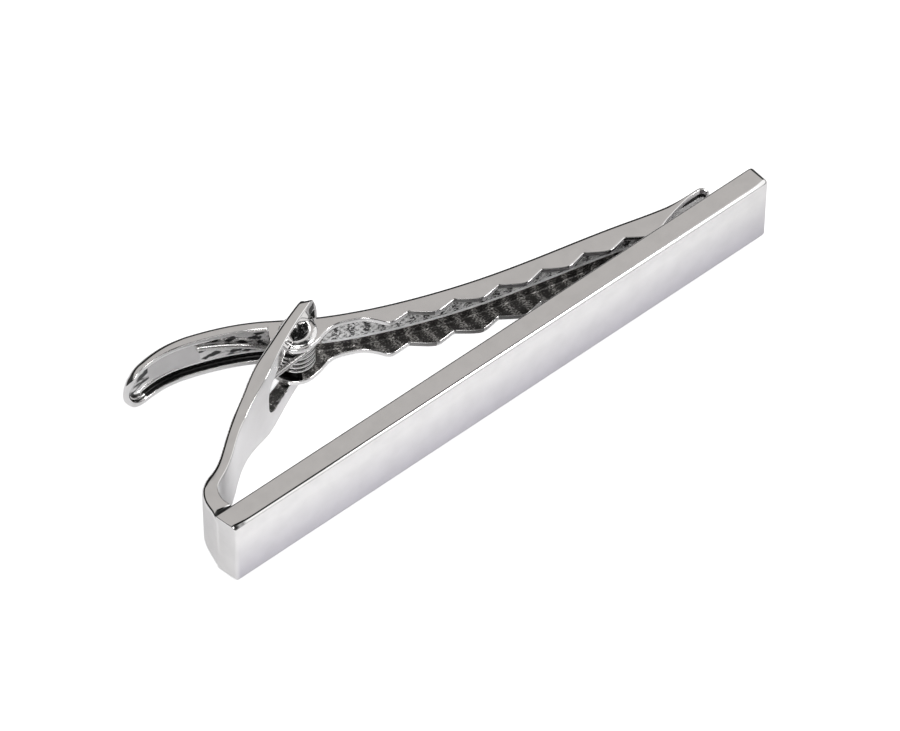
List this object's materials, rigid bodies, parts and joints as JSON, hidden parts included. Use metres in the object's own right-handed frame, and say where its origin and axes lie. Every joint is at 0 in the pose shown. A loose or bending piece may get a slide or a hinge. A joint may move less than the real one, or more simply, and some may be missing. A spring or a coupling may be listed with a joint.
{
  "type": "tie clip",
  "caption": "Slim rectangular tie clip: a bar with a hinge arm on its back and a spring-loaded toothed lever that closes on the bar to grip fabric.",
  "frame": {"origin": "centre of the bar's front face", "axes": "+X along the bar to its free end, +Y from the front face to the back where the lever is, +Z across the bar's height; the part is the same above and below the plane Z = 0"},
  "size_m": [0.0504, 0.0171, 0.0074],
  "materials": {
    "polished_bar": "mirror polish",
    "polished_arm": "mirror polish",
    "polished_lever": "bright plate over a pressed strip",
    "pin_steel": "bright",
    "spring_steel": "drawn wire"
  },
  "bodies": {
    "frame": {"front_bar": "polished_bar", "hinge_arm": "polished_arm", "hinge_pin": "pin_steel", "torsion_spring": "spring_steel"},
    "jaw": {"jaw_lever": "polished_lever"}
  },
  "joints": [
    {"name": "jaw_hinge", "type": "hinge", "parent": "frame", "child": "jaw", "pos_m": [-0.01005, 0.01192, 0], "axis": [0, 0, 1], "range_deg": [0, 15], "stiffness_Nm_per_rad": 0.02, "springref_deg": -68.75, "deforming": ["torsion_spring"]}
  ]
}
